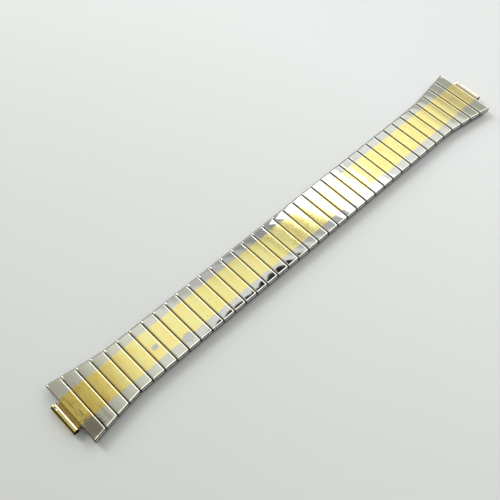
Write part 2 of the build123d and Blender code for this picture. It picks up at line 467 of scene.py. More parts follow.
# The same by the lean along X, with the lean along Y at which the part stops: the pale painted highlight
# on one bevel, and the painted shade in the grooves between the caps
BEVEL_HIGHLIGHT_BEGINS = (0.20, 0.32)
BEVEL_HIGHLIGHT_ENDS = (0.45, 0.58)
BEVEL_HIGHLIGHT_STOPS = (0.08, 0.22)
BEVEL_HIGHLIGHT_SHARE = 0.75
GROOVE_BEGINS = (0.52, 0.68)
GROOVE_STOPS = (0.35, 0.50)
# Painted shade on the foot of a cap and in notches between the links: heights at which it ends, the half
# width of a notch in pitches, and the darkness
FOOT_TOP = (2.14 * MM, 2.26 * MM)
NOTCH_TOP = (2.80 * MM, 2.86 * MM)
NOTCH_HALF = (0.065, 0.09)
SHADE_MASK_SHARE = 0.96
# Roughness of the caps: that of the clouds, and what the stripe, the drawn lines and lost gold add
CAP_ROUGH = (0.020, 0.050)
STRIPE_ROUGH = 0.045
LINES_ROUGH = (-0.01, 0.02)
LOST_ROUGH = 0.12
# Bumps of the caps: heights of lines, grain and specks, the relief of the steel and what the stripe adds,
# and the strength and depth of the whole
LINES_HEIGHT = 0.35
GRAIN_HEIGHT = 0.4
SPECK_HEIGHT = 0.6
STEEL_RELIEF = 0.05
STRIPE_RELIEF = 0.37
CAP_BUMP = (0.32, 0.006 * MM)


def cap_surface():
    """Two-tone cap: steel with a gold-coloured stripe, fine lines along the band, specks and wear."""
    s = Surface("two_tone_cap")
    x, y, z = (s.axes[axis] for axis in "XYZ")
    lean_x, lean_y = s.facing["X"], s.math("ABSOLUTE", s.facing["Y"])
    pitches = s.math("DIVIDE", s.math("ADD", x, BAND_HALF), PITCH)
    link = s.math("FLOOR", pitches)
    own = s.add("ShaderNodeTexWhiteNoise", {"W": link}, noise_dimensions="1D").outputs["Value"]
    cloud = s.noise(CAP_CLOUDS, CLOUD_DETAIL)
    lines = s.noise(CAP_LINES, LINES_DETAIL, CAP_LINES_UNEVEN)
    grain = s.noise(CAP_GRAIN)

    edge = s.math("ADD", s.math("ABSOLUTE", y), s.sway(s.noise(STRIPE_WAVES), STRIPE_WANDER))
    edge = s.math("ADD", edge, s.ramp(own, 0.0, 1.0, -STRIPE_JUMP, STRIPE_JUMP))
    soft = s.ramp(x, 0.0, BAND_HALF, *STRIPE_SOFT)
    inner, outer = s.math("SUBTRACT", STRIPE_HALF, soft), s.math("ADD", STRIPE_HALF, soft)
    bare = s.math("MAXIMUM", *(s.spot(*place) for place in GOLD_LOST))
    stripe = s.ramp(edge, inner, outer, 1.0, 0.0, smooth=True)
    stripe = s.math("MULTIPLY", stripe, s.math("SUBTRACT", 1.0, bare))

    changing = s.math("ADD", x, s.sway(cloud, PITCH / 2))

    def shaded(metal, shades):
        for first, last, share_first, share_last, smooth, shade in shades:
            share = s.ramp(changing, link_x(first), link_x(last), share_first, share_last, smooth)
            metal = s.mix(share, metal, shade)
        return metal

    gold = shaded(s.mix(s.ramp(cloud, *GOLD_BORDER), GOLD, GOLD_PALE), GOLD_SHADES)
    brown = s.ramp(s.noise(BROWN_PATCHES, BROWN_DETAIL), *BROWN_BORDER)
    brown = s.math("MULTIPLY", brown, s.ramp(x, link_x(1), link_x(BROWN_LAST), BROWN_SHARE, 0.0))
    gold = s.mix(brown, gold, GOLD_BROWN)
    steel = shaded(s.mix(s.ramp(cloud, *CLOUD_BORDER), STEEL, STEEL_GREY), STEEL_SHADES)
    colour = s.mix(stripe, steel, gold)
    colour = s.mix(s.math("MULTIPLY", bare, LOST_DULL), colour, STEEL_DULL)

    inputs = {"Vector": s.stretched(SPECK_CELLS), "Scale": 1.0, "Randomness": 1.0}
    cells = s.add("ShaderNodeTexVoronoi", inputs).outputs
    chance = s.add("ShaderNodeSeparateColor", {0: cells["Color"]}).outputs[0]
    near = s.ramp(cells["Distance"], *SPECK_BORDER, 1.0, 0.0)
    speck = s.math("MULTIPLY", near, s.math("LESS_THAN", chance, SPECK_CELLS_USED))
    colour = s.mix(s.math("MULTIPLY", speck, SPECK_SHARE), colour, DIRT)
    marks = s.math("MAXIMUM", *(s.math("MULTIPLY", s.spot(*place), share) for share, place in DARK_MARKS))
    colour = s.mix(marks, colour, DIRT)

    # Painted reflection: the walls facing across the band are brighter
    colour = s.mix(s.ramp(lean_y, *WALL_BEGINS), colour, WALL_PAINTED_REFLECTION)
    # Painted highlight: one bevel of each cap is paler
    bevel_highlight = s.between(lean_x, BEVEL_HIGHLIGHT_BEGINS, BEVEL_HIGHLIGHT_ENDS)
    bevel_highlight = s.math("MULTIPLY", bevel_highlight, s.ramp(lean_y, *BEVEL_HIGHLIGHT_STOPS, 1.0, 0.0), BEVEL_HIGHLIGHT_SHARE)
    colour = s.mix(bevel_highlight, colour, BEVEL_HIGHLIGHT_PALE)
    # Painted shade in the grooves between the caps
    groove = s.ramp(s.math("ABSOLUTE", lean_x), *GROOVE_BEGINS)
    groove = s.math("MULTIPLY", groove, s.ramp(lean_y, *GROOVE_STOPS, 1.0, 0.0))
    colour = s.mix(groove, colour, GROOVE_PAINTED_SHADE, "MULTIPLY")
    # Painted shade: the dark line over the wall, the foot and the notches go black and mirror nothing
    line = s.between(lean_y, LINE_BEGINS, LINE_ENDS)
    foot = s.ramp(z, *FOOT_TOP, 1.0, 0.0)
    across = s.math("FRACT", pitches)
    beside = s.math("MINIMUM", across, s.math("SUBTRACT", 1.0, across))
    notch = s.math("MULTIPLY", s.ramp(beside, *NOTCH_HALF, 1.0, 0.0), s.ramp(z, *NOTCH_TOP, 1.0, 0.0))
    shade_mask = s.math("MULTIPLY", s.math("MAXIMUM", line, foot, notch), SHADE_MASK_SHARE)
    colour = s.mix(shade_mask, colour, SHADE_BLACK)

    rough = s.ramp(cloud, *NOISE_RANGE, *CAP_ROUGH)
    rough = s.math("ADD", rough, s.math("MULTIPLY", stripe, STRIPE_ROUGH))
    rough = s.math("ADD", rough, s.ramp(lines, *NOISE_RANGE, *LINES_ROUGH))
    rough = s.math("ADD", rough, s.math("MULTIPLY", bare, LOST_ROUGH))
    height = s.math("MULTIPLY", lines, LINES_HEIGHT)
    height = s.math("ADD", height, s.math("MULTIPLY", grain, GRAIN_HEIGHT))
    relief = s.math("ADD", STEEL_RELIEF, s.math("MULTIPLY", stripe, STRIPE_RELIEF))
    height = s.math("MULTIPLY", height, relief)
    height = s.math("SUBTRACT", height, s.math("MULTIPLY", speck, SPECK_HEIGHT))
    return s.finish(colour, rough, height, *CAP_BUMP, shade_mask)


# Steel of the sleeves, springs and bows: the ranges over which its drawn lines dull the colour and set
# the roughness, how much they do, and the strength and depth of the bumps
LINES_BORDER = (0.5, 0.85)
LINES_DULL = 0.3
SHINE_RANGE = (0.25, 0.75)
ROUGH_CHANGE = 0.12
STEEL_BUMP = (0.3, 0.008 * MM)
# Painted shade inside the ends of the sleeves: distances from the middle line at which it begins, and its
# share
END_SHADE_BEGINS = (6.35 * MM, 6.6 * MM)
END_SHADE = 0.95
# The bows' webs are left light about one height; painted shade begins at these distances from it
WEB_LIT_Z = 0.68 * MM
WEB_SHADE_BEGINS = (0.10 * MM, 0.19 * MM)
WEB_SHADE_WANDER = 0.04 * MM
WEB_SHADE = 0.97


def steel_surface(name, base, other, pattern, roughest, shade_paint=None):
    """Rolled steel: fine drawn lines one way, darker clouds and a slightly uneven shine.

    The last argument, where it is given, is a function that says how far painted shade hides the metal.
    """
    s = Surface(name)
    cloud = s.noise(STEEL_CLOUDS, CLOUD_DETAIL)
    lines = s.noise(pattern, LINES_DETAIL, STEEL_LINES_UNEVEN)
    colour = s.mix(s.ramp(cloud, *CLOUD_BORDER), base, other)
    colour = s.mix(s.ramp(lines, *LINES_BORDER, 0.0, LINES_DULL), colour, STEEL_DULL)
    rough = s.ramp(lines, *SHINE_RANGE, roughest - ROUGH_CHANGE, roughest)
    painted_shade = None
    if shade_paint is not None:
        painted_shade = shade_paint(s, cloud)
        # Painted shade: black where the given function says
        colour = s.mix(painted_shade, colour, SHADE_BLACK)
    return s.finish(colour, rough, lines, *STEEL_BUMP, painted_shade)


def end_shade(s, _cloud):
    """Painted shade at both ends of the sleeves."""
    return s.ramp(s.math("ABSOLUTE", s.axes["Y"]), *END_SHADE_BEGINS, 0.0, END_SHADE)


def web_shade(s, cloud):
    """Painted shade above and below the light height of the bows."""
    # Painted shade on the webs away from the light height
    away = s.math("ABSOLUTE", s.math("SUBTRACT", s.axes["Z"], WEB_LIT_Z))
    away = s.math("ADD", away, s.sway(cloud, WEB_SHADE_WANDER))
    return s.ramp(away, *WEB_SHADE_BEGINS, 0.0, WEB_SHADE, smooth=True)


# End tubes: how much drawn lines lighten the gold, over which range, and how pale the far tube is
TUBE_LINES_BORDER = (0.6, 0.85)
TUBE_LINES_PALE = 0.35
FAR_PALE = 0.75
# The tongue, brown as painted shade, by the distance from the tube's axis at which it begins, and its
# share
TONGUE_BEGINS = (1.05 * TUBE_RADIUS, 1.15 * TUBE_RADIUS)
TONGUE_SHADE = 0.9
# The painted highlight on the side towards the band and the painted shade on the flank away from it:
# where each begins and ends, outwards from the axis in radii, its share, and the height over the axis
# where it begins
HIGHLIGHT_BEGINS = (-0.86, -0.72)
HIGHLIGHT_ENDS = (-0.30, -0.15)
HIGHLIGHT_SHARE = 0.85
HIGHLIGHT_UP = (0.3 * TUBE_RADIUS, 0.5 * TUBE_RADIUS)
FLANK_BEGINS = (0.48, 0.62)
FLANK_ENDS = (0.86, 0.93)
FLANK_SHARE = 0.92
FLANK_UP = (-0.1 * MM, 0.1 * MM)
# Painted shade in the bore, by the distance from the axis at which it ends, and its share
BORE_ENDS = (TUBE_RADIUS - TUBE_WALL, TUBE_RADIUS - 0.6 * TUBE_WALL)
BORE_SHARE = 0.95
# The dimple's pale floor and the brown ring round it: where each ends, their shares, and the height over
# the axis where both begin
DISC_ENDS = (0.6 * DIMPLE_RADIUS, 0.8 * DIMPLE_RADIUS)
DISC_SHARE = 0.8
RING_ENDS = (0.04 * MM, 0.09 * MM)
RING_SHARE = 0.9
DIMPLE_UP = (0.5 * TUBE_RADIUS, 0.7 * TUBE_RADIUS)
# Roughness of the tube, what the tongue adds, and the strength and depth of the bumps
TUBE_ROUGH = (0.12, 0.20)
TONGUE_ROUGH = 0.25
TUBE_BUMP = (0.2, 0.006 * MM)


def tube_surface():
    """Gold plating on the end tubes: polished, with deeper colour in patches and fine rub marks; a
    highlight, and shade on the flank, the tongue and the bore, are painted in.
    """
    s = Surface("gold_plating")
    cloud = s.noise(TUBE_CLOUDS, CLOUD_DETAIL)
    lines = s.noise(TUBE_LINES)
    out = s.math("SUBTRACT", s.math("ABSOLUTE", s.axes["X"]), TUBE_X)
    up = s.math("SUBTRACT", s.axes["Z"], TUBE_Z)
    radii_out = s.math("DIVIDE", out, TUBE_RADIUS)
    from_axis = s.distance(out, up)
    colour = s.mix(s.ramp(cloud, *CLOUD_BORDER), TUBE_GOLD, TUBE_DEEP)
    colour = s.mix(s.ramp(lines, *TUBE_LINES_BORDER, 0.0, TUBE_LINES_PALE), colour, GOLD_PALE)
    colour = s.mix(s.ramp(s.axes["X"], 0.0, BAND_HALF, 0.0, FAR_PALE), colour, TUBE_PALE)
    # Painted shade: the tongue is brown
    tongue = s.ramp(from_axis, *TONGUE_BEGINS, 0.0, TONGUE_SHADE)
    colour = s.mix(tongue, colour, TUBE_BROWN)
    # Painted highlight on the side towards the band
    painted_highlight = s.between(radii_out, HIGHLIGHT_BEGINS, HIGHLIGHT_ENDS)
    painted_highlight = s.math("MULTIPLY", painted_highlight, s.ramp(up, *HIGHLIGHT_UP), HIGHLIGHT_SHARE)
    colour = s.mix(painted_highlight, colour, TUBE_HIGHLIGHT)
    # Painted shade on the flank away from the band
    flank = s.between(radii_out, FLANK_BEGINS, FLANK_ENDS)
    flank = s.math("MULTIPLY", flank, s.ramp(up, *FLANK_UP), FLANK_SHARE)
    colour = s.mix(flank, colour, TUBE_SHADE)
    # Painted shade in the bore
    colour = s.mix(s.ramp(from_axis, *BORE_ENDS, BORE_SHARE, 0.0), colour, BORE_SHADE)
    dimple_out = s.math("SUBTRACT", out, TUBE_RADIUS * math.sin(-DIMPLE_TURN))
    from_dimple = s.distance(dimple_out, s.math("SUBTRACT", s.axes["Y"], DIMPLE_Y))
    above = s.ramp(up, *DIMPLE_UP)
    disc = s.math("MULTIPLY", above, s.ramp(from_dimple, *DISC_ENDS, DISC_SHARE, 0.0))
    colour = s.mix(disc, colour, STEEL)
    ring_radius = DIMPLE_RADIUS * (1 - DIMPLE_WALL / 2)
    ring = s.math("ABSOLUTE", s.math("SUBTRACT", from_dimple, ring_radius))
    ring = s.math("MULTIPLY", above, s.ramp(ring, *RING_ENDS, RING_SHARE, 0.0))
    colour = s.mix(ring, colour, TUBE_BROWN)
    rough = s.ramp(cloud, *NOISE_RANGE, *TUBE_ROUGH)
    rough = s.math("ADD", rough, s.math("MULTIPLY", tongue, TONGUE_ROUGH))
    return s.finish(colour, rough, lines, *TUBE_BUMP)


# Base and clouded colour of each steel, and its greatest roughness; the sleeves' steel is darker as
# painted shade under the caps, and the bows' steel paler as painted light
SHADED_SLEEVE_STEEL = (0.46, 0.45, 0.43, 1), (0.33, 0.32, 0.30, 1)
SPRING_STEEL = (0.74, 0.74, 0.74, 1), (0.62, 0.62, 0.62, 1)
LIT_BOW_STEEL = (0.95, 0.94, 0.92, 1), (0.86, 0.85, 0.83, 1)
SLEEVE_ROUGH, SPRING_ROUGH, BOW_ROUGH = 0.36, 0.30, 0.52

CAP_METAL = cap_surface()
SLEEVE_METAL = steel_surface("sleeve_steel", *SHADED_SLEEVE_STEEL, SLEEVE_LINES, SLEEVE_ROUGH, end_shade)
SPRING_METAL = steel_surface("spring_steel", *SPRING_STEEL, SPRING_LINES, SPRING_ROUGH)
BOW_METAL = steel_surface("bow_steel", *LIT_BOW_STEEL, BOW_LINES, BOW_ROUGH, web_shade)
TUBE_METAL = tube_surface()


# Caps


def cap_plan(x_low, x_high, inset):
    """The grid of a cap's top in plan: (x, y) of each point, drawn in by an inset all round.

    Lines of the grid are spread evenly, but for one a corner radius inside each edge; the four corner
    points are pulled in to the middle of their arcs.
    """
    corner = max(CAP_CORNER - inset / 2, CAP_LEAST_CORNER)
    low, high = x_low + inset, x_high - inset
    inner = np.linspace(low + corner, high - corner, CAP_CELLS_ACROSS - 1)
    x = np.concatenate([[low], inner, [high]])
    half = half_width(x_low) + (half_width(x_high) - half_width(x_low)) * (x - x_low) / (x_high - x_low)
    half = half - inset * CAP_END_BEVEL
    share = np.linspace(-1, 1, CAP_CELLS_ALONG - 1)[None, :] * (1 - corner / half)[:, None]
    share = np.concatenate([-np.ones((len(x), 1)), share, np.ones((len(x), 1))], axis=1)
    plan_x = np.repeat(x[:, None], share.shape[1], axis=1)
    plan_y = share * half[:, None]
    pull = corner * (1 - math.sqrt(0.5))
    for i, j in ((0, 0), (0, -1), (-1, 0), (-1, -1)):
        plan_x[i, j] += pull if i == 0 else -pull
        plan_y[i, j] += pull if j == 0 else -pull
    return plan_x, plan_y


def border(rows, columns):
    """Row and column numbers of the points round the edge of a grid, in order."""
    up = [(i, 0) for i in range(rows - 1)]
    over = [(rows - 1, j) for j in range(columns - 1)]
    down = [(i, columns - 1) for i in range(rows - 1, 0, -1)]
    back = [(0, j) for j in range(columns - 1, 0, -1)]
    return np.array(up + over + down + back).T


def cap_mesh(link):
    """Points and faces of a cap: a closed shell of rings round the grids of its outer and inner top.

    Each ring follows the cap's outline at a profile step. The height is the band's top less the
    profile's fall, less a crown that grows with the square of the distance from the cap's middle along
    the band and with a high power of the distance across it, plus a small tilt.
    """
    middle = link_x(link)
    x_low, x_high = middle - (PITCH - CAP_GAP) / 2, middle + (PITCH - CAP_GAP) / 2
    tilt_x, tilt_y = random.normal(0, CAP_TILT, 2)
    lift = np.array([tilt_x * PITCH / 2, tilt_y * CAP_TILT_ACROSS * HALF_WIDTH])

    def height(x, y, fall):
        along = (x - middle) / (PITCH / 2)
        across = np.abs(y) / half_width(middle)
        rise = lift[0] * along + lift[1] * y / HALF_WIDTH
        crown = CAP_CROWN * along**2 + CAP_END_FALL * np.minimum(across, 1) ** CAP_END_POWER
        return BAND_TOP - fall - crown + rise - abs(lift[0]) - abs(lift[1])

    points, rings = [], []
    rows, columns = CAP_CELLS_ACROSS + 1, CAP_CELLS_ALONG + 1
    i, j = border(rows, columns)
    for step, (inset, fall) in enumerate(CAP_PROFILE):
        x, y = cap_plan(x_low, x_high, inset)
        if step in (0, len(CAP_PROFILE) - 1):
            rings.append(sum(map(len, points)) + i * columns + j)
            points.append(np.stack([x, y, height(x, y, fall)], -1).reshape(-1, 3))
        else:
            rings.append(sum(map(len, points)) + np.arange(len(i)))
            points.append(np.stack([x[i, j], y[i, j], height(x[i, j], y[i, j], fall)], -1))
    faces = grid_faces(rows, columns)
    last_first = len(np.concatenate(points)) - rows * columns
    faces += [quad[::-1] for quad in grid_faces(rows, columns, last_first)]
    for ring, following in zip(rings, rings[1:]):
        after, following_after = np.roll(ring, -1), np.roll(following, -1)
        faces += np.stack([ring, after, following_after, following], -1).tolist()
    return np.concatenate(points), faces


def make_cap(link):
    points, faces = cap_mesh(link)
    piece = mesh_piece(f"cap_{link:02d}", points, faces, CAP_METAL)
    return finished(out_facing(piece), f"link_{link:02d}", "two_tone_steel", f"link_{link:02d}")


# Sleeves and leaf springs


def rounded_box(half_x, half_z, corner, steps=3):
    """Outline of a rounded rectangle about the origin, as (x, z): four arcs joined by straight sides."""
    turn = np.linspace(0, math.pi / 2, steps + 1)
    arcs = []
    for quarter, (side_x, side_z) in enumerate(((1, 1), (-1, 1), (-1, -1), (1, -1))):
        angle = turn + quarter * math.pi / 2
        x = side_x * (half_x - corner) + corner * np.cos(angle)
        z = side_z * (half_z - corner) + corner * np.sin(angle)
        arcs.append(np.stack([x, z], -1))
    return np.concatenate(arcs)


def sleeve_mesh(x, z_low, z_high, seam_side):
    """A flat tube across the band: rounded outline outside and inside, carried along Y, ends bevelled.

    The strip that it is rolled from meets in a narrow seam along the middle of one broad side: the upper
    one where seam_side is 1, the lower one where it is -1.
    """
    half_x, half_z = SLEEVE_LENGTH / 2, (z_high - z_low) / 2
    outer = rounded_box(half_x, half_z, SLEEVE_CORNER)
    seam = [(SLEEVE_SEAM, half_z), (0, half_z - SLEEVE_SEAM), (-SLEEVE_SEAM, half_z)]
    seam = np.array(seam[::seam_side]) * (1, seam_side)
    cut = len(outer) // 4 if seam_side > 0 else 3 * len(outer) // 4
    outer = np.concatenate([outer[:cut], seam, outer[cut:]])
    inner = outer * (1 - SLEEVE_WALL / half_x, 1 - SLEEVE_WALL / half_z)
    lip = outer * (1 - SLEEVE_LIP / half_x)
    end = SLEEVE_HALF_WIDTH
    shoulder = end - SLEEVE_END_BEVEL
    rings = [(outer, -shoulder), (outer, shoulder), (lip, end), (inner, end), (inner, -end), (lip, -end)]
    middle_z = (z_low + z_high) / 2
    rows = []
    for ring, y in rings:
        rows.append(np.stack([x + ring[:, 0], np.full(len(ring), y), middle_z + ring[:, 1]], -1))
    return np.concatenate(rows), grid_faces(len(rows), len(outer), close_rows=True, close_columns=True)


def spring_mesh(x_low, x_high, z_middle, z_tip):
    """A bowed leaf: its line goes by half a cosine from the height of its middle to that of its tips."""
    y = np.linspace(-SPRING_HALF_LENGTH, SPRING_HALF_LENGTH, SPRING_STEPS)
    share = np.clip((np.abs(y) / SPRING_HALF_LENGTH - SPRING_FLAT) / SPRING_SLOPE, 0, 1)
    z = z_middle + (z_tip - z_middle) * (1 - np.cos(math.pi * share)) / 2
    half = SPRING_THICKNESS / 2
    corners = ((x_low, -half), (x_high, -half), (x_high, half), (x_low, half))
    places = []
    for at_y, at_z in zip(y, z):
        places.append(np.array([(corner_x, at_y, at_z + rise) for corner_x, rise in corners]))
    return swept(places)


def joined(*meshes):
    """Several meshes' points and faces as one."""
    points, faces, first = [], [], 0
    for mesh_points, mesh_faces in meshes:
        points.append(mesh_points)
        faces += [[corner + first for corner in face] for face in mesh_faces]
        first += len(mesh_points)
    return np.concatenate(points), faces


def make_row_piece(name, body, node, slot, sleeve, spring):
    """A sleeve with its leaf spring inside, as one piece with two finishes."""
    points, faces = joined(sleeve, spring)
    piece = mesh_piece(name, points, faces, SLEEVE_METAL, ROW_SMOOTH)
    piece.data.materials.append(SPRING_METAL)
    own = np.zeros(len(faces), dtype=np.int32)
    own[len(sleeve[1]) :] = 1
    piece.data.polygons.foreach_set("material_index", own)
    return finished(out_facing(piece), body, slot, node)


def make_upper_sleeve(link):
    x = link_x(link)
    spring_low, spring_high = x - SPRING_WIDTH / 2, x + SPRING_WIDTH / 2
    if link == 1:
        spring_low = x - END_SPRING_OUT
    if link == LINKS:
        spring_high = x + END_SPRING_OUT
    z_middle = UPPER_LOW + SLEEVE_WALL + SPRING_SEAT_GAP + SPRING_THICKNESS / 2
    sleeve = sleeve_mesh(x, UPPER_LOW, UPPER_TOP, -1)
    spring = spring_mesh(spring_low, spring_high, z_middle, z_middle + UPPER_SPRING_RISE)
    body = f"link_{link:02d}"
    return make_row_piece(f"upper_sleeve_{link:02d}", body, body, "two_tone_steel", sleeve, spring)


def lower_body(gap):
    """The body that carries the lower sleeve under a gap: its own, or the link outside it."""
    own = f"lower_link_{gap:02d}"
    if own in frame["bodies"]:
        return own
    return f"link_{gap + 1:02d}" if gap >= MIDDLE else f"link_{gap:02d}"


def make_lower_sleeve(gap):
    x = link_x(gap) + PITCH / 2
    z_middle = LOWER_TOP - SLEEVE_WALL - SPRING_SEAT_GAP - SPRING_THICKNESS / 2
    z_tip = z_middle - LOWER_SPRING_FALL
    sleeve = sleeve_mesh(x, 0.0, LOWER_TOP, 1)
    spring = spring_mesh(x - SPRING_WIDTH / 2, x + SPRING_WIDTH / 2, z_middle, z_tip)
    body = lower_body(gap)
    return make_row_piece(f"lower_sleeve_{gap:02d}", body, body, "steel", sleeve, spring)


# Connecting bows


def bow_line(steps=3):
    """The middle line of a bow in Y and Z: a leg, a quarter arc, the web, a quarter arc and a leg."""
    turn = np.linspace(0, math.pi / 2, steps + 1)
    y = BOW_WEB_Y - BOW_BEND + BOW_BEND * np.sin(turn)
    rise = BOW_BEND - BOW_BEND * np.cos(turn)
    low = np.stack([y, BOW_LOW + rise], -1)
    high = np.stack([y, BOW_HIGH - rise], -1)[::-1]
    return np.concatenate([[(BOW_TIP_Y, BOW_LOW)], low, high, [(BOW_TIP_Y, BOW_HIGH)]])


def bow_mesh(x, side):
    """A strip of rectangular section carried along the bow's line, square to it at every step."""
    line = bow_line()
    along = np.gradient(line, axis=0)
    along /= np.linalg.norm(along, axis=1, keepdims=True)
    out = np.stack([along[:, 1], -along[:, 0]], -1) * BOW_THICKNESS / 2
    low, high = x - BOW_WIDTH / 2, x + BOW_WIDTH / 2
    places = []
    for at, normal in zip(line, out):
        (in_y, in_z), (out_y, out_z) = at - normal, at + normal
        ring = [(low, in_y, in_z), (high, in_y, in_z), (high, out_y, out_z), (low, out_y, out_z)]
        places.append(np.array(ring) * (1, side, 1))
    return swept(places)


def make_bow_pair(gap, outer):
    """The two bows, one at each edge of the band, that join a lower sleeve to one of its upper links.

    Where the upper link also carries the lower sleeve the bows ride on it; otherwise they stay where they
    are.
    """
    away = 1 if gap >= MIDDLE else -1
    offset = BOW_OFFSET * away * (1 if outer else -1)
    x = link_x(gap) + PITCH / 2 + offset
    points, faces = joined(bow_mesh(x, 1), bow_mesh(x, -1))
    name = f"bows_{gap:02d}_{'outer' if outer else 'inner'}"
    piece = out_facing(mesh_piece(name, points, faces, BOW_METAL, ROW_SMOOTH))
    upper = f"link_{gap + 1 if offset > 0 else gap:02d}"
    lower = lower_body(gap)
    if upper == lower:
        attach(piece, upper)
    else:
        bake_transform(piece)
    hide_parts("connecting_bows")
    return piece


# End tubes


def tube_outline():
    """Middle line of the rolled sheet in X and Z, for the far end: hook, tongue, bend and tube.

    The tongue runs straight out of the end link at one height. A quarter of an ellipse bends it down to
    the tube's inner side. The tube is an arc about its axis that goes on from there, below, round the
    outside and over the top, to just above the bend. The second value counts the tongue's points.
    """
    radius = TUBE_RADIUS - TUBE_WALL / 2
    turn = np.linspace(math.pi + TUBE_BEND_TURN, 3 * math.pi - TUBE_SEAM_TURN, TUBE_STEPS)
    circle = np.stack([TUBE_X + radius * np.cos(turn), TUBE_Z + radius * np.sin(turn)], -1)
    quarter = np.arange(BEND_STEPS) / BEND_STEPS * math.pi / 2
    bend_x = BEND_X + (circle[0, 0] - BEND_X) * np.sin(quarter)
    bend_z = TONGUE_Z + (circle[0, 1] - TONGUE_Z) * (1 - np.cos(quarter))
    straight = [
        (HOOK_X, TONGUE_Z - HOOK_FALL),
        (HOOK_X, TONGUE_Z - HOOK_CORNER),
        (HOOK_X + HOOK_CORNER, TONGUE_Z),
        (HOOK_X + HOOK_LENGTH, TONGUE_Z),
        (BEND_X - BEND_LEAD, TONGUE_Z),
    ]
    tongue = np.concatenate([straight, np.stack([bend_x, bend_z], -1)])
    return np.concatenate([tongue, circle]), len(tongue)


def tube_mesh(end):
    """A rolled tube with its tongue: the sheet's two faces, offset from its middle line, carried along Y.

    The rims are rounded over two steps. A round dimple near one end of the tube is pressed in, flat at
    the bottom, with a wall that follows a smooth step of the distance from its centre.
    """
    line, tongue_count = tube_outline()
    along = np.gradient(line, axis=0)
    along /= np.linalg.norm(along, axis=1, keepdims=True)
    normal = np.stack([-along[:, 1], along[:, 0]], -1) * TUBE_WALL / 2
    outline = np.concatenate([line + normal, (line - normal)[::-1]])
    inside = TUBE_HALF - TUBE_RIM_LENGTH
    coarse = np.linspace(-inside, inside, TUBE_STEPS_ALONG)
    fine = np.linspace(DIMPLE_Y - DIMPLE_RADIUS, DIMPLE_Y + DIMPLE_RADIUS, DIMPLE_STEPS)
    y = np.unique(np.round(np.concatenate([coarse, fine]), 7))
    rim_in, rim_share = np.array(TUBE_RIMS).T
    thin = np.concatenate([rim_share, np.ones(len(y)), rim_share[::-1]])
    y = np.concatenate([rim_in - TUBE_HALF, y, TUBE_HALF - rim_in[::-1]])
    tongue_width = np.ones(len(line))
    tongue_width[:tongue_count] = TONGUE_HALF / TUBE_HALF
    widths = np.concatenate([tongue_width, tongue_width[::-1]])
    middle = np.concatenate([line, line[::-1]])
    places = []
    for at_y, share in zip(y, thin):
        ring = middle + (outline - middle) * share
        over = np.arctan2(ring[:, 1] - TUBE_Z, ring[:, 0] - TUBE_X) - math.pi / 2
        reach = np.hypot((over - DIMPLE_TURN) * TUBE_RADIUS, at_y - DIMPLE_Y) / DIMPLE_RADIUS
        on_tube = np.hypot(ring[:, 0] - TUBE_X, ring[:, 1] - TUBE_Z) < TUBE_RADIUS * ON_TUBE
        wall = np.clip((1 - reach) / DIMPLE_WALL, 0, 1)
        press = DIMPLE_DEPTH * wall**2 * (3 - 2 * wall) * on_tube
        inward = np.array([TUBE_X, TUBE_Z]) - ring
        inward /= np.linalg.norm(inward, axis=1, keepdims=True)
        ring = ring + inward * press[:, None]
        places.append(np.stack([end * ring[:, 0], at_y * widths, ring[:, 1]], -1))
    return swept(places)


def make_tube(name, node, end):
    points, faces = tube_mesh(end)
    piece = out_facing(mesh_piece(name, points, faces, TUBE_METAL, TUBE_SMOOTH))
    return finished(piece, node, "gold_plate", node)


# Floor, light and camera

CAMERA_PLACE = (-100.23 * MM, -75.40 * MM, 184.92 * MM)
CAMERA_TARGET = (-14.05 * MM, 3.58 * MM, 3.1 * MM)
CAMERA_ROLL = math.radians(3.787)
CAMERA_LENS = 56.975
CAMERA_CLIP = (0.01, 10.0)
SENSOR = 36.0

FLOOR_HALF = 1.4
FLOOR_NEAR = (0.54, 0.555, 0.525, 1)
FLOOR_FAR = (0.770, 0.785, 0.775, 1)
# Painted light: the floor's colour grows paler this way, between these two distances, which its faint
# clouds shift a little
FLOOR_WAY = (0.93, 0.08, 0.0)
FLOOR_REACH = (-0.11, 0.07)
FLOOR_CLOUDS = 14.0
FLOOR_DETAIL = 3.0
FLOOR_SHIFT = 0.02
FLOOR_ROUGH = 0.85
FLOOR_SHINE = 0.2


def make_floor():
    """A pale sheet under the band, its colour darker towards the near end as painted shade, with faint
    clouds in its colour.
    """
    half = FLOOR_HALF
    corners = [(-half, -half, 0), (half, -half, 0), (half, half, 0), (-half, half, 0)]
    material = bpy.data.materials.new("pale_paper")
    nodes = Nodes(material)
    place = nodes.add("ShaderNodeTexCoord").outputs["Object"]
    inputs = {"Vector": place, "Scale": FLOOR_CLOUDS, "Detail": FLOOR_DETAIL}
    cloud = nodes.add("ShaderNodeTexNoise", inputs).outputs["Fac"]
    # Painted light falloff along the floor
    along = nodes.math("ADD", nodes.math("MULTIPLY", cloud, FLOOR_SHIFT), nodes.dot(place, FLOOR_WAY))
    colour = nodes.mix(nodes.ramp(along, *FLOOR_REACH), FLOOR_NEAR, FLOOR_FAR)
    shader = nodes.tree.nodes["Principled BSDF"]
    nodes.tree.links.new(colour, shader.inputs["Base Color"])
    shader.inputs["Roughness"].default_value = FLOOR_ROUGH
    shader.inputs["Specular IOR Level"].default_value = FLOOR_SHINE
    floor = mesh_piece("floor", corners, [[0, 1, 2, 3]], material)


# Ceiling panels of the studio, told by how far along X a direction leans for each unit of height:
# where each next panel starts, how soft its border is, and how bright it is
CEILING_FIRST = 0.12
CEILING = (
    (-0.950, 0.100, 0.60),
    (-0.200, 0.080, 0.56),
    (0.195, 0.075, 1.02),
    (0.720, 0.040, 1.15),
    (0.910, 0.030, 0.58),
)
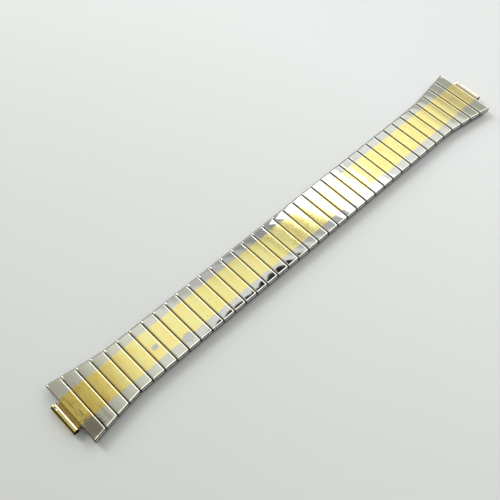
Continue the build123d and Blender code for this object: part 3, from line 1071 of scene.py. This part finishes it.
# The window frame on the ceiling: a point of the window's near edge, the way across the window, how far
# the dark frame reaches before and behind that edge, its soft border and its brightness
FRAME_LEAN = (0.595, 0.415)
FRAME_ACROSS = (0.892, 0.451)
FRAME_BEFORE = -0.085
FRAME_BEHIND = 0.030
FRAME_SOFT = 0.018
FRAME_BRIGHTNESS = 0.60
# Dark shapes on the ceiling: the lean of the middle along X and Y, half sizes, softness and brightness.
# The first two stand before the window, the third is the wall beside it
SHAPES = (
    ((0.463, 0.187), (0.055, 0.163), 0.07, 0.03),
    ((0.390, 0.160), (0.082, 0.160), 0.08, 0.05),
    ((0.460, 0.545), (0.140, 0.115), 0.45, 0.68),
)
# Brightness below the ceiling, the heights and Y of a direction over which the ceiling begins, and the
# least height that a lean is divided by
AROUND = 0.56
CEILING_Z = (0.5, 0.62)
CEILING_Y = (-0.05, 0.05)
LEAST_Z = 0.2
BACKDROP = (0.76, 0.775, 0.765, 1)
# The world is bright towards one way and dark away from it, over a range of the nearness to that way
WORLD_DARK = (0.46, 0.455, 0.44, 1)
WORLD_BRIGHT = (0.95, 0.96, 0.95, 1)
BRIGHT_WAY = (0.80, 0.20, 0.56)
BRIGHT_BEGINS = (0.05, 0.62)
# The dark wall behind the near end: between which X of a direction it starts, and its brightness
NEAR_WALL = (-0.62, -0.46)
NEAR_WALL_BRIGHTNESS = 0.75
# The bright strip overhead on the side towards -Y: where its two borders start and end, by the lean
# along Y, the height over which it begins, and its added brightness
STRIP_FIRST = (-0.60, -0.50)
STRIP_LAST = (-0.06, 0.02)
STRIP_Z = (0.4, 0.5)
STRIP_BRIGHTNESS = 1.25
# The tall bright wall beyond the far end: how steeply it starts, its sides and its added brightness
WALL_LEAN = (1.03, 1.06)
WALL_SIDES = (0.05, 0.15), (0.66, 0.80)
WALL_LEAST_X = 0.2
WALL_LEAST_Z = 0.02
WALL_BRIGHTNESS = 1.25


def make_world():
    """Studio surroundings: pale towards the far end of the band, dark behind the near end.

    The ceiling is a row of panels of differing brightness with soft borders, crossed by the window's
    frame and darkened by a few shapes. A strip and a tall wall, both bright, light the bevels. The
    camera itself sees an even backdrop.
    """
    world = bpy.data.worlds.new("studio")
    bpy.context.scene.world = world
    nodes = Nodes(world)
    maths = nodes.math

    def ramp(value, low, high, to_low=0.0, to_high=1.0):
        return nodes.ramp(value, low, high, to_low, to_high, smooth=True)

    way = nodes.add("ShaderNodeTexCoord").outputs["Generated"]
    x, y, z = nodes.add("ShaderNodeSeparateXYZ", {0: way}).outputs
    overhead = maths("MULTIPLY", ramp(z, *CEILING_Z), ramp(y, *CEILING_Y))
    bright = ramp(nodes.dot(way, Vector(BRIGHT_WAY).normalized()), *BRIGHT_BEGINS)
    colour = nodes.mix(maths("MAXIMUM", bright, overhead), WORLD_DARK, WORLD_BRIGHT)

    height = maths("MAXIMUM", z, LEAST_Z)
    lean = maths("DIVIDE", x, height)
    lean_y = maths("DIVIDE", y, height)
    level, before = CEILING_FIRST, CEILING_FIRST
    for start, soft, panel in CEILING:
        level = maths("ADD", level, ramp(lean, start - soft, start + soft, 0.0, panel - before))
        before = panel

    along_x = maths("MULTIPLY", maths("SUBTRACT", lean, FRAME_LEAN[0]), FRAME_ACROSS[0])
    along_y = maths("MULTIPLY", maths("SUBTRACT", lean_y, FRAME_LEAN[1]), FRAME_ACROSS[1])
    across = maths("ADD", along_x, along_y)
    frame_on = ramp(across, FRAME_BEFORE - FRAME_SOFT, FRAME_BEFORE + FRAME_SOFT)
    frame_off = ramp(across, FRAME_BEHIND - FRAME_SOFT, FRAME_BEHIND + FRAME_SOFT, 1.0, 0.0)
    shade = maths("MULTIPLY", frame_on, frame_off, 1 - FRAME_BRIGHTNESS)
    level = maths("MULTIPLY", level, maths("SUBTRACT", 1.0, shade))

    for (middle_x, middle_y), (half_x, half_y), soft, shape in SHAPES:
        off_x = maths("DIVIDE", maths("SUBTRACT", lean, middle_x), half_x)
        off_y = maths("DIVIDE", maths("SUBTRACT", lean_y, middle_y), half_y)
        away = maths("ADD", maths("MULTIPLY", off_x, off_x), maths("MULTIPLY", off_y, off_y))
        level = maths("MULTIPLY", level, ramp(away, 1 - soft, 1 + soft, shape, 1.0))
    level = maths("ADD", AROUND, maths("MULTIPLY", overhead, maths("SUBTRACT", level, AROUND)))

    aside = maths("DIVIDE", y, maths("MAXIMUM", x, WALL_LEAST_X))
    steep = maths("DIVIDE", x, maths("MAXIMUM", z, WALL_LEAST_Z))
    first, last = WALL_SIDES
    wall = maths("MULTIPLY", ramp(steep, *WALL_LEAN), ramp(aside, *first), ramp(aside, *last, 1.0, 0.0))
    level = maths("ADD", level, maths("MULTIPLY", wall, WALL_BRIGHTNESS))
    level = maths("MULTIPLY", level, ramp(x, *NEAR_WALL, NEAR_WALL_BRIGHTNESS, 1.0))
    strip = maths("MULTIPLY", ramp(lean_y, *STRIP_FIRST), ramp(lean_y, *STRIP_LAST, 1.0, 0.0))
    strip = maths("MULTIPLY", strip, ramp(z, *STRIP_Z), STRIP_BRIGHTNESS)
    level = maths("ADD", level, strip)

    seen = nodes.add("ShaderNodeLightPath").outputs["Is Camera Ray"]
    level = nodes.add("ShaderNodeMix", {0: seen, 2: level, 3: 1.0}).outputs[0]
    background = nodes.tree.nodes["Background"]
    nodes.tree.links.new(nodes.mix(seen, colour, BACKDROP), background.inputs["Color"])
    nodes.tree.links.new(level, background.inputs["Strength"])


def aimed(place, target):
    """The turn that points a lamp or the camera at a target."""
    return (Vector(target) - Vector(place)).to_track_quat("-Z", "Y")


def make_lamp(name, place, turn, size, power):
    """A rectangular lamp."""
    data = bpy.data.lights.new(name, "AREA")
    data.shape = "RECTANGLE"
    data.size, data.size_y = size
    data.energy = power
    lamp = bpy.data.objects.new(name, data)
    bpy.context.scene.collection.objects.link(lamp)
    lamp.location = place
    lamp.rotation_euler = turn


# Lamps behind the far long edge, both aimed at the band's middle: place, size and power
LAMPS = {
    "key": ((-0.26, 0.74, 0.84), (0.40, 0.36), 3.4),
    "side": ((-0.26, 1.00, 0.65), (0.40, 0.60), 4.0),
}

WINDOW_HEIGHT = 600 * MM
WINDOW_BRIGHTNESS = 3.6
# Each pane: both ends of its near border, and its width beyond that border
WINDOW_PANES = (
    ((320.0 * MM, 312.0 * MM), (345.0 * MM, 262.0 * MM), 77.0 * MM),
    ((340.0 * MM, 273.0 * MM), (412.0 * MM, 205.0 * MM), 56.0 * MM),
    ((393.0 * MM, 416.5 * MM), (364.0 * MM, 300.5 * MM), 70.0 * MM),
    ((390.0 * MM, 222.0 * MM), (390.0 * MM, 105.0 * MM), 74.0 * MM),
)


def make_window():
    """A window overhead in four overlapping panes, whose mirror image crosses the middle caps aslant."""
    for number, (first, second, width) in enumerate(WINDOW_PANES, 1):
        first, second = np.array(first), np.array(second)
        length = np.linalg.norm(second - first)
        along_x, along_y = (second - first) / length
        x, y = (first + second) / 2 + np.array([-along_y, along_x]) * width / 2
        turn = (0, 0, math.atan2(along_y, along_x))
        power = WINDOW_BRIGHTNESS * math.pi * width * length
        make_lamp(f"window_{number}", (x, y, BAND_TOP + WINDOW_HEIGHT), turn, (length, width), power)


def make_camera():
    """The photograph's view: from above the near end, turned a little about the line of sight."""
    data = bpy.data.cameras.new("camera")
    data.lens = CAMERA_LENS
    data.sensor_width = SENSOR
    data.clip_start, data.clip_end = CAMERA_CLIP
    camera = bpy.data.objects.new("camera", data)
    bpy.context.scene.collection.objects.link(camera)
    camera.location = CAMERA_PLACE
    camera.rotation_mode = "QUATERNION"
    camera.rotation_quaternion = aimed(CAMERA_PLACE, CAMERA_TARGET) @ Quaternion((0, 0, 1), CAMERA_ROLL)
    bpy.context.scene.camera = camera


for link in range(1, LINKS + 1):
    make_cap(link)
    make_upper_sleeve(link)
for gap in range(1, LINKS):
    make_lower_sleeve(gap)
    make_bow_pair(gap, False)
    make_bow_pair(gap, True)
make_tube("rolled_tube_near", "near_end_tube", -1)
make_tube("rolled_tube_far", "far_end_tube", 1)

make_floor()
make_world()
for name, (place, size, power) in LAMPS.items():
    make_lamp(name, place, aimed(place, (0, 0, 0)).to_euler(), size, power)
make_window()
make_camera()
bpy.context.scene.view_settings.view_transform = "Standard"
